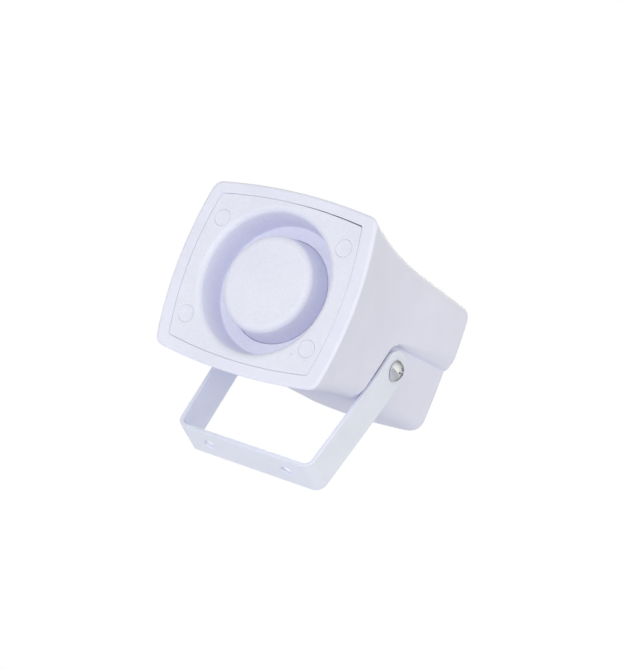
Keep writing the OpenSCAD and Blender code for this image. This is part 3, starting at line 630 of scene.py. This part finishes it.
def outer_stations():
    """(station, pocket share, inset) from the rim to the rear wall."""
    rim = [(RIM_ROUND * (1 - math.cos(a)), 0, RIM_ROUND * (1 - math.sin(a)))
           for a in map(math.radians, steps(0, 90, 8))]
    step = upper_half_w(POCKET_CORNER_Y) - lower_half_w(POCKET_CORNER_Y)
    lean = 1 / math.cos(TILT)
    quarter = [math.radians(a) for a in steps(0, 90, 5)]
    edge = [(POCKET_CORNER_Y - STEP_ROUND * lean * (1 - math.sin(a)),
             STEP_ROUND / step * (1 - math.cos(a)), 0) for a in quarter]
    foot = [(POCKET_CORNER_Y + 0.02 + STEP_FILLET * lean * (1 - math.cos(a)),
             1 - STEP_FILLET / step * (1 - math.sin(a)), 0) for a in quarter]
    front = [(u, 0, 0) for u in steps(RIM_ROUND, edge[0][0], 22)[1:-1]]
    rear = [(u, 1, 0) for u in steps(foot[-1][0], BODY_D - REAR_R, 18)[1:-1]]
    end = [(BODY_D - REAR_R * (1 - math.sin(a)), 1, REAR_R * (1 - math.cos(a)))
           for a in map(math.radians, steps(0, 90, 9))]
    return rim + front + edge + foot + rear + end


def opening(gap):
    """Outline of the hole round the face plate, which doesn't quite close at one upper corner."""
    top = PLATE_HALF_H - PLATE_BOW_Z - 1
    ring = []
    for x, z in plate_ring(gap):
        extra = OPENING_EXTRA * clamp(x / PLATE_HALF_W) ** 0.8 if z > top else 0.0
        ring.append((x, z + extra))
    return ring


def housing():
    """Closed shell as one row of rings: flared outside, rear wall with its cable hole, inside, ledge, rim."""
    rings = [body_ring(u, pocket, inset) for u, pocket, inset in outer_stations()]
    last = [(x, z) for x, _, z in rings[-1]]
    hole = round_ring(last, OUTLET_R, OUTLET_Z)

    def between(share):
        return [(p[0] + (q[0] - p[0]) * share, p[1] + (q[1] - p[1]) * share) for p, q in zip(last, hole)]

    rings += [at_depth(between(s), BODY_D) for s in (0.04, 0.35, 0.7, 0.96, 1)]
    rings += [at_depth(between(s), BODY_D - WALL) for s in (1, 0.5)]
    inner_corner = POCKET_CORNER_Y - WALL / math.cos(TILT)
    inside = [(BODY_D - WALL - 0.01, 1, 1.5), (BODY_D - WALL - 1.5, 1, 0)]
    inside += [(u, 1, 0) for u in steps(BODY_D - 10, inner_corner + 0.6, 6)]
    inside += [(u, 0, 0) for u in steps(inner_corner, LEDGE_END, 9)]
    rings += [body_ring(u, pocket, inset, WALL) for u, pocket, inset in inside]
    rings += [at_depth(plate_ring(-LEDGE_LAP), y) for y in (LEDGE_END, LEDGE_Y)]
    rings += [at_depth(opening(PLATE_GAP), y) for y in (LEDGE_Y, FRONT_CHAMFER)]
    rings += [at_depth(opening(PLATE_GAP + FRONT_CHAMFER / 2), 0)]
    parts = [(*loft_mesh(rings, closed=True), SIREN)]
    parts += housing_bosses()
    obj = build("housing_shell", parts, flat_angle=38)
    even_shading(obj)
    return obj


def tube(outer, inner, length, chamfer=0.3):
    """Profile of a plain tube with chamfered outer edges, from height 0."""
    return [(inner, 0), (outer - chamfer, 0), (outer, chamfer), (outer, length - chamfer),
            (outer - chamfer, length), (inner, length)]


def housing_bosses():
    """Face screw bosses, board posts and the seats of the pivot inserts, inside the shell."""
    parts = []
    for sx in (-1, 1):
        for sz in (-1, 1):
            boss = tube(FACE_BOSS_R, FACE_BOSS_BORE_R, FACE_BOSS_END - FACE_BOSS_START)
            place = SIREN @ Matrix.Translation((sx * CAP_X, FACE_BOSS_START, sz * CAP_Z)) @ ALONG_Y
            parts.append((*lathe_mesh(boss, 32), place))
            post = tube(BOARD_POST_R, BOARD_POST_BORE_R, BOARD_POST_LEN + WALL / 2)
            start = BODY_D - WALL - BOARD_POST_LEN
            place = SIREN @ Matrix.Translation((sx * BOARD_X, start, BOARD_MID_Z + sz * BOARD_Z)) @ ALONG_Y
            parts.append((*lathe_mesh(post, 32), place))
        seat = tube(INSERT_BOSS_R, INSERT_R, INSERT_LEN + 0.5)
        parts.append((*lathe_mesh(seat, 48), tilt_axis(sx, pad_x() - INSERT_LEN - 1.5)))
        pad = tube(PAD_R, INSERT_R, PAD_T, 0.15)
        parts.append((*lathe_mesh(pad, 64), tilt_axis(sx, pad_x() - PAD_T)))
    return parts


# ---------------------------------------------------------------- face plate, caps and plug


def face_plate():
    """Plate with its recess, as one closed row of rings, with four cap seats cut in its front."""
    edge = plate_ring(0)
    mouth = RECESS_R + RECESS_LIP
    slope = (RECESS_R - RECESS_FLOOR_R) / RECESS_D
    lip = [(mouth - RECESS_LIP * math.sin(a) - slope * RECESS_LIP * (1 - math.cos(a)),
            RECESS_LIP * (1 - math.cos(a))) for a in map(math.radians, steps(0, 90, 8))]
    fillet = 0.5
    wall = [(RECESS_R - slope * y, y) for y in steps(RECESS_LIP, RECESS_D - fillet, 5)[1:]]
    foot = [(RECESS_FLOOR_R - fillet + fillet * math.cos(a), RECESS_D - fillet + fillet * math.sin(a))
            for a in map(math.radians, steps(0, 90, 4))][1:]
    slot_r = PLUG_R + SLOT_W
    floor = [(slot_r + 0.1, RECESS_D), (slot_r, RECESS_D + 0.1), (slot_r, FLOOR_END)]
    back_r = RECESS_FLOOR_R + RECESS_WALL
    back = [(back_r, FLOOR_END), (RECESS_R + RECESS_WALL - slope * PLATE_T, PLATE_T)]
    rings = [at_depth(plate_ring(-FRONT_CHAMFER), 0)]
    middle = [((x + c) / 2, (z + d) / 2) for (x, z), (c, d) in zip(edge, round_ring(edge, mouth))]
    rings.append(at_depth(middle, 0))
    rings += [at_depth(round_ring(edge, r), y) for r, y in lip + wall + foot + floor + back]
    rings += [at_depth(edge, PLATE_T), at_depth(edge, FRONT_CHAMFER)]
    obj = build("face_panel", [(*loft_mesh(rings, closed=True), SIREN)])
    seat_r = CAP_R + CAP_GAP
    seat = [(0, -1), (seat_r + 1.15, -1), (seat_r, 0.15), (seat_r, CAP_T), (0, CAP_T)]
    carve(obj, build("cap_seats", [(*lathe_mesh(seat, 64), m) for m in cap_places()]))
    smooth(obj)
    even_shading(obj)
    return obj


def cap_places():
    """Frames on the face with +Z into the siren, one for each screw cap."""
    return [SIREN @ Matrix.Translation((sx * CAP_X, 0, sz * CAP_Z)) @ ALONG_Y
            for sx in (-1, 1) for sz in (-1, 1)]


def screw_caps():
    """Four press-in discs, slightly dished, with a rounded edge."""
    edge = 0.18
    rim = [(CAP_R - edge + edge * math.sin(a), edge * (1 - math.cos(a)))
           for a in map(math.radians, steps(0, 90, 4))]
    dish = [(0, 0.1), (CAP_R * 0.5, 0.08), (CAP_R * 0.8, 0.02)]
    profile = dish + rim + [(CAP_R, CAP_T - FIT_GAP), (0, CAP_T - FIT_GAP)]
    obj = build("cap_discs", [(*lathe_mesh(profile, 64), m) for m in cap_places()])
    even_shading(obj)
    return obj


def centre_plug():
    """Hollow plug with a softly rounded front edge and a flared foot."""
    edge_y = PLUG_SETBACK + PLUG_EDGE_R
    edge = [(PLUG_TOP_R - PLUG_EDGE_R + PLUG_EDGE_R * math.sin(a), edge_y - PLUG_EDGE_R * math.cos(a))
            for a in map(math.radians, steps(0, 90, 12))]
    inner = PLUG_TOP_R - PLUG_WALL
    front = [(0, PLUG_SETBACK), (edge[0][0] / 2, PLUG_SETBACK), (edge[0][0] - 0.4, PLUG_SETBACK)]
    wall = [(PLUG_R, RECESS_D), (PLUG_R, PLUG_END), (PLUG_R - PLUG_WALL, PLUG_END)]
    inside = [(inner, edge_y + 1), (inner - 1.5, PLUG_SETBACK + PLUG_WALL), (0, PLUG_SETBACK + PLUG_WALL)]
    mesh = lathe_mesh(front + edge + wall + inside, 128)
    obj = build("sound_plug", [(*mesh, SIREN @ ALONG_Y)])
    even_shading(obj)
    return obj


# ---------------------------------------------------------------- bracket and pivots


def strip_path():
    """Right half of the bracket as pairs of outer and inner (x, z) points, from the base to the ear."""
    ear_start = PIVOT_H - EAR_R - 2
    splay = math.atan((ear_x() - BASE_HALF_W) / ear_start)
    bend_x = BASE_HALF_W - BEND_R * math.cos(splay) + BEND_R * (1 - math.sin(splay)) * math.tan(splay)
    edges = []
    for depth in (0, STRIP_T):
        bend = arc(bend_x, BEND_R, BEND_R - depth, -90, -math.degrees(splay), 16)
        kink = (ear_x() - depth, ear_start + depth * math.tan(splay / 2))
        leg = [(bend[-1][0] + (kink[0] - bend[-1][0]) * t, bend[-1][1] + (kink[1] - bend[-1][1]) * t)
               for t in (0.33, 0.67)]
        edges.append(bend + leg + [kink, (ear_x() - depth, PIVOT_H)])
    return list(zip(*edges))


def bracket():
    """Bent strip with round ears and drilled holes, its edges softened as paint leaves them."""
    right = strip_path()
    left = [((-o[0], o[1]), (-i[0], i[1])) for o, i in reversed(right)]
    path = left + right
    verts, faces = [], []
    for outer, inner in path:
        for x, z in (outer, inner):
            verts += [(x, -EAR_R, z), (x, EAR_R, z)]
    for i in range(len(path) - 1):
        a, b = 4 * i, 4 * i + 4
        for p, q in ((0, 1), (1, 3), (3, 2), (2, 0)):
            faces.append((a + p, a + q, b + q, b + p))
    crown = arc(0, 0, EAR_R, 180, 0, 40)[1:-1]
    for end in (0, len(path) - 1):
        loops = []
        for layer in (0, 1):
            x = path[end][layer][0]
            first = len(verts)
            verts += [(x, y, PIVOT_H + z) for y, z in crown]
            start = 4 * end + 2 * layer
            loops.append([start, *range(first, first + len(crown)), start + 1])
        faces += [tuple(loops[0]), tuple(loops[1])]
        faces += [(a, b, d, c) for a, b, c, d in zip(loops[0], loops[0][1:], loops[1], loops[1][1:])]
    obj = build("steel_bracket", [(verts, faces, TO_ROW)])
    drills = []
    for side in (-1, 1):
        mount = TO_ROW @ Matrix.Translation((side * MOUNT_SPACING / 2, 0, 0))
        for r, segments, place in ((MOUNT_HOLE_R, 48, mount), (SCREW_R + 0.08, 32, tilt_axis(side, ear_x()))):
            drills.append((*lathe_mesh([(0, -4), (r, -4), (r, 4), (0, 4)], segments), place))
    carve(obj, build("drill", drills))
    soften_edges(obj, 0.3, 3)
    smooth(obj, 30)
    even_shading(obj)
    return obj


def pan_head_screw(side):
    """Domed pan-head screw with a tapered cross recess."""
    edge_h = 0.45
    rise = HEAD_T - edge_h
    dome_r = (HEAD_R**2 + rise**2) / (2 * rise)
    lift = HEAD_T - dome_r
    radii = [HEAD_R * math.cos(a) for a in map(math.radians, steps(0, 90, 20))]
    dome = [(r, lift + math.sqrt(dome_r**2 - r * r)) for r in radii]
    profile = [(0, -SCREW_LEN), (SCREW_R - 0.3, -SCREW_LEN), (SCREW_R, -SCREW_LEN + 0.3), (SCREW_R, 0),
               (HEAD_R - 0.15, 0), (HEAD_R, 0.15)] + dome[:-1] + [(0, HEAD_T)]
    place = tilt_axis(side, ear_x() + FIT_GAP)
    name = "pan_head_right" if side > 0 else "pan_head_left"
    obj = build(name, [(*lathe_mesh(profile, 64), place)])
    arm, half, depth = 2.0, 0.42, 1.4
    corners = [(arm, half), (half, half), (half, arm)]
    plus = []
    for _ in range(4):
        plus += corners
        corners = [(-y, x) for x, y in corners]
    sections = ((0.45, HEAD_T - depth), (1.0, HEAD_T), (1.1, HEAD_T + 1))
    rings = [[(x * s, y * s, z) for x, y in plus] for s, z in sections]
    verts, faces = loft_mesh(rings, closed=False)
    faces += [tuple(range(len(plus))), tuple(range(len(verts) - len(plus), len(verts)))]
    turn = Matrix.Rotation(math.radians(20), 4, "Z")
    carve(obj, build("cross", [(verts, faces, place @ turn)]))
    soften_edges(obj, 0.06, 2, angle=50)
    smooth(obj, 40)
    even_shading(obj)
    return obj


def washers():
    """Two nylon friction washers between the ears and the pads."""
    thick = ear_x() - STRIP_T - FIT_GAP - pad_x()
    ring = lathe_mesh(tube(WASHER_R, SCREW_R + 0.15, thick, 0.2), 72)
    return build("nylon_washers", [(*ring, tilt_axis(side, pad_x())) for side in (-1, 1)])


def grommet():
    """Rubber bush in the rear wall with two rounded lips."""
    rear = BODY_D - WALL
    lip_r, lip_t, lift = OUTLET_R + 1.4, 1.2, 0.03
    neck_r, lip_mid_r = OUTLET_R - FIT_GAP, lip_r - lip_t / 2
    profile = [(CABLE_BORE_R, rear - lip_t / 2), (CABLE_BORE_R + 0.3, rear - lip_t)]
    profile += arc(lip_mid_r, rear - lip_t / 2, lip_t / 2, -90, 30, 6)
    profile += [(neck_r, rear - FIT_GAP), (neck_r, BODY_D + FIT_GAP)]
    profile += arc(lip_mid_r, BODY_D + lip_t / 2 + lift, lip_t / 2 - lift, -50, 90, 8)
    profile += [(CABLE_BORE_R + 0.5, BODY_D + lip_t), (CABLE_BORE_R, BODY_D + lip_t - 0.4)]
    place = SIREN @ Matrix.Translation((0, 0, OUTLET_Z)) @ ALONG_Y
    return build("cable_bush", [(*lathe_mesh(profile, 64), place)])


# ---------------------------------------------------------------- stage, light and camera

CENTRE = Vector((-3.83, -4.20, 54.11)) * MM
VIEW_AZIMUTH, VIEW_ELEVATION, VIEW_ROLL = (math.radians(a) for a in (36.78, -26.27, 34.464))
VIEW_DISTANCE = 0.641
LENS, SENSOR = 100.313, 36.0
FLOOR_Z = -0.75
LIGHT_AZIMUTH, LIGHT_ELEVATION = 70.0, -15.0
LIGHT_LEVEL, LIGHT_SLOPE, LIGHT_LEAST = 0.55, 0.91, 0.25
LIGHT_TINT = (1.0, 1.0, 0.865)
KEY_AZIMUTH, KEY_ELEVATION = math.radians(8), math.radians(-24)
KEY_DISTANCE, KEY_SIZE, KEY_POWER = 1.3, 0.5, 4.4
BACK_ELEVATION, BACK_DISTANCE, BACK_SIZE, BACK_POWER = math.radians(42), 1.4, 1.0, 11.0
FLOOR_SIZE, FLOOR_POWER, FLOOR_WASH_HEIGHT = 12.0, 0.8, 0.3


def direction(azimuth, elevation):
    """Unit vector from the object towards a viewer; azimuth 0 looks along +Y."""
    flat = math.cos(elevation)
    return Vector((math.sin(azimuth) * flat, -math.cos(azimuth) * flat, math.sin(elevation)))


def aim(obj, place, target, roll=0.0):
    obj.location = place
    turn = (target - place).to_track_quat("-Z", "Y").to_matrix().to_4x4() @ Matrix.Rotation(roll, 4, "Z")
    obj.rotation_euler = turn.to_euler()


def camera():
    data = bpy.data.cameras.new("camera")
    data.lens, data.sensor_width, data.sensor_fit = LENS, SENSOR, "HORIZONTAL"
    data.clip_start, data.clip_end = 0.02, 20
    obj = bpy.data.objects.new("camera", data)
    bpy.context.scene.collection.objects.link(obj)
    aim(obj, CENTRE + VIEW_DISTANCE * direction(VIEW_AZIMUTH, VIEW_ELEVATION), CENTRE, VIEW_ROLL)
    bpy.context.scene.camera = obj


def softbox(name, place, target, size, power):
    """Square light at place that shines towards target and isn't seen itself."""
    data = bpy.data.lights.new(name, "AREA")
    data.shape, data.size, data.energy = "SQUARE", size, power
    data.color = LIGHT_TINT
    obj = bpy.data.objects.new(name, data)
    obj.visible_camera = False
    bpy.context.scene.collection.objects.link(obj)
    aim(obj, place, target)


def surround():
    """White backdrop whose light on the siren is strongest from one side and fades to the other."""
    world = bpy.data.worlds.new("studio")
    world.use_nodes = True
    tree = world.node_tree
    lit = tree.nodes["Background"]
    place = tree.nodes.new("ShaderNodeTexCoord")
    facing = tree.nodes.new("ShaderNodeVectorMath")
    facing.operation = "DOT_PRODUCT"
    facing.inputs[1].default_value = direction(math.radians(LIGHT_AZIMUTH), math.radians(LIGHT_ELEVATION))
    level = tree.nodes.new("ShaderNodeMath")
    level.operation = "MULTIPLY_ADD"
    level.inputs[1].default_value, level.inputs[2].default_value = LIGHT_SLOPE, LIGHT_LEVEL
    least = tree.nodes.new("ShaderNodeMath")
    least.operation = "MAXIMUM"
    least.inputs[1].default_value = LIGHT_LEAST
    tree.links.new(place.outputs["Generated"], facing.inputs[0])
    tree.links.new(facing.outputs["Value"], level.inputs[0])
    tree.links.new(level.outputs[0], least.inputs[0])
    lit.inputs["Color"].default_value = (*LIGHT_TINT, 1)
    tree.links.new(least.outputs[0], lit.inputs["Strength"])
    seen = tree.nodes.new("ShaderNodeBackground")
    seen.inputs["Color"].default_value = (1, 1, 1, 1)
    path = tree.nodes.new("ShaderNodeLightPath")
    choose = tree.nodes.new("ShaderNodeMixShader")
    tree.links.new(path.outputs["Is Camera Ray"], choose.inputs[0])
    tree.links.new(lit.outputs[0], choose.inputs[1])
    tree.links.new(seen.outputs[0], choose.inputs[2])
    tree.links.new(choose.outputs[0], tree.nodes["World Output"].inputs["Surface"])
    bpy.context.scene.world = world


def studio():
    """White surround, soft boxes in front and behind, and a light that whitens the pale floor far below."""
    scene = bpy.context.scene
    scene.view_settings.view_transform = "Standard"
    scene.view_settings.look = "None"
    surround()
    key = CENTRE + KEY_DISTANCE * direction(KEY_AZIMUTH, KEY_ELEVATION)
    softbox("key", key, CENTRE, KEY_SIZE, KEY_POWER)
    back = CENTRE + BACK_DISTANCE * direction(VIEW_AZIMUTH + math.pi, BACK_ELEVATION)
    softbox("back", back, CENTRE, BACK_SIZE, BACK_POWER)
    wash = Vector((0, 0, FLOOR_Z + FLOOR_WASH_HEIGHT))
    softbox("floor_wash", wash, wash - Vector((0, 0, 1)), FLOOR_SIZE, FLOOR_POWER * FLOOR_SIZE**2)
    floor()


def floor():
    """Pale matt sheet with a fine mottle."""
    look = Look("floor", 0.9, specular=0.2)
    look.mottle(look.noise(40, detail=4), (0.84, 0.85, 0.95), 0.01)
    look.bump(look.noise(3), 0.05, 0.3)
    half = FLOOR_SIZE / MM / 2
    corners = [(-half, -half, 0), (half, -half, 0), (half, half, 0), (-half, half, 0)]
    obj = build("floor", [(corners, [(0, 1, 2, 3)], TO_ROW @ Matrix.Translation((0, 0, FLOOR_Z / MM)))])
    obj.data.materials.append(look.material)


camera()
studio()
dress_cad_nodes()
dress(housing(), "housing_plastic", "siren", "housing")
dress(face_plate(), "face_plastic", "siren", "face_plate")
dress(screw_caps(), "face_plastic", "siren", "screw_caps")
dress(centre_plug(), "face_plastic", "siren", "centre_plug")
dress(bracket(), "painted_steel", "bracket", "bracket")
dress(pan_head_screw(-1), "bright_nickel", "siren", "pivot_screw_left")
dress(pan_head_screw(1), "bright_nickel", "siren", "pivot_screw_right")
dress(washers(), "nylon", "siren", "friction_washers")
dress(grommet(), "black_rubber", "siren", "cable_grommet")
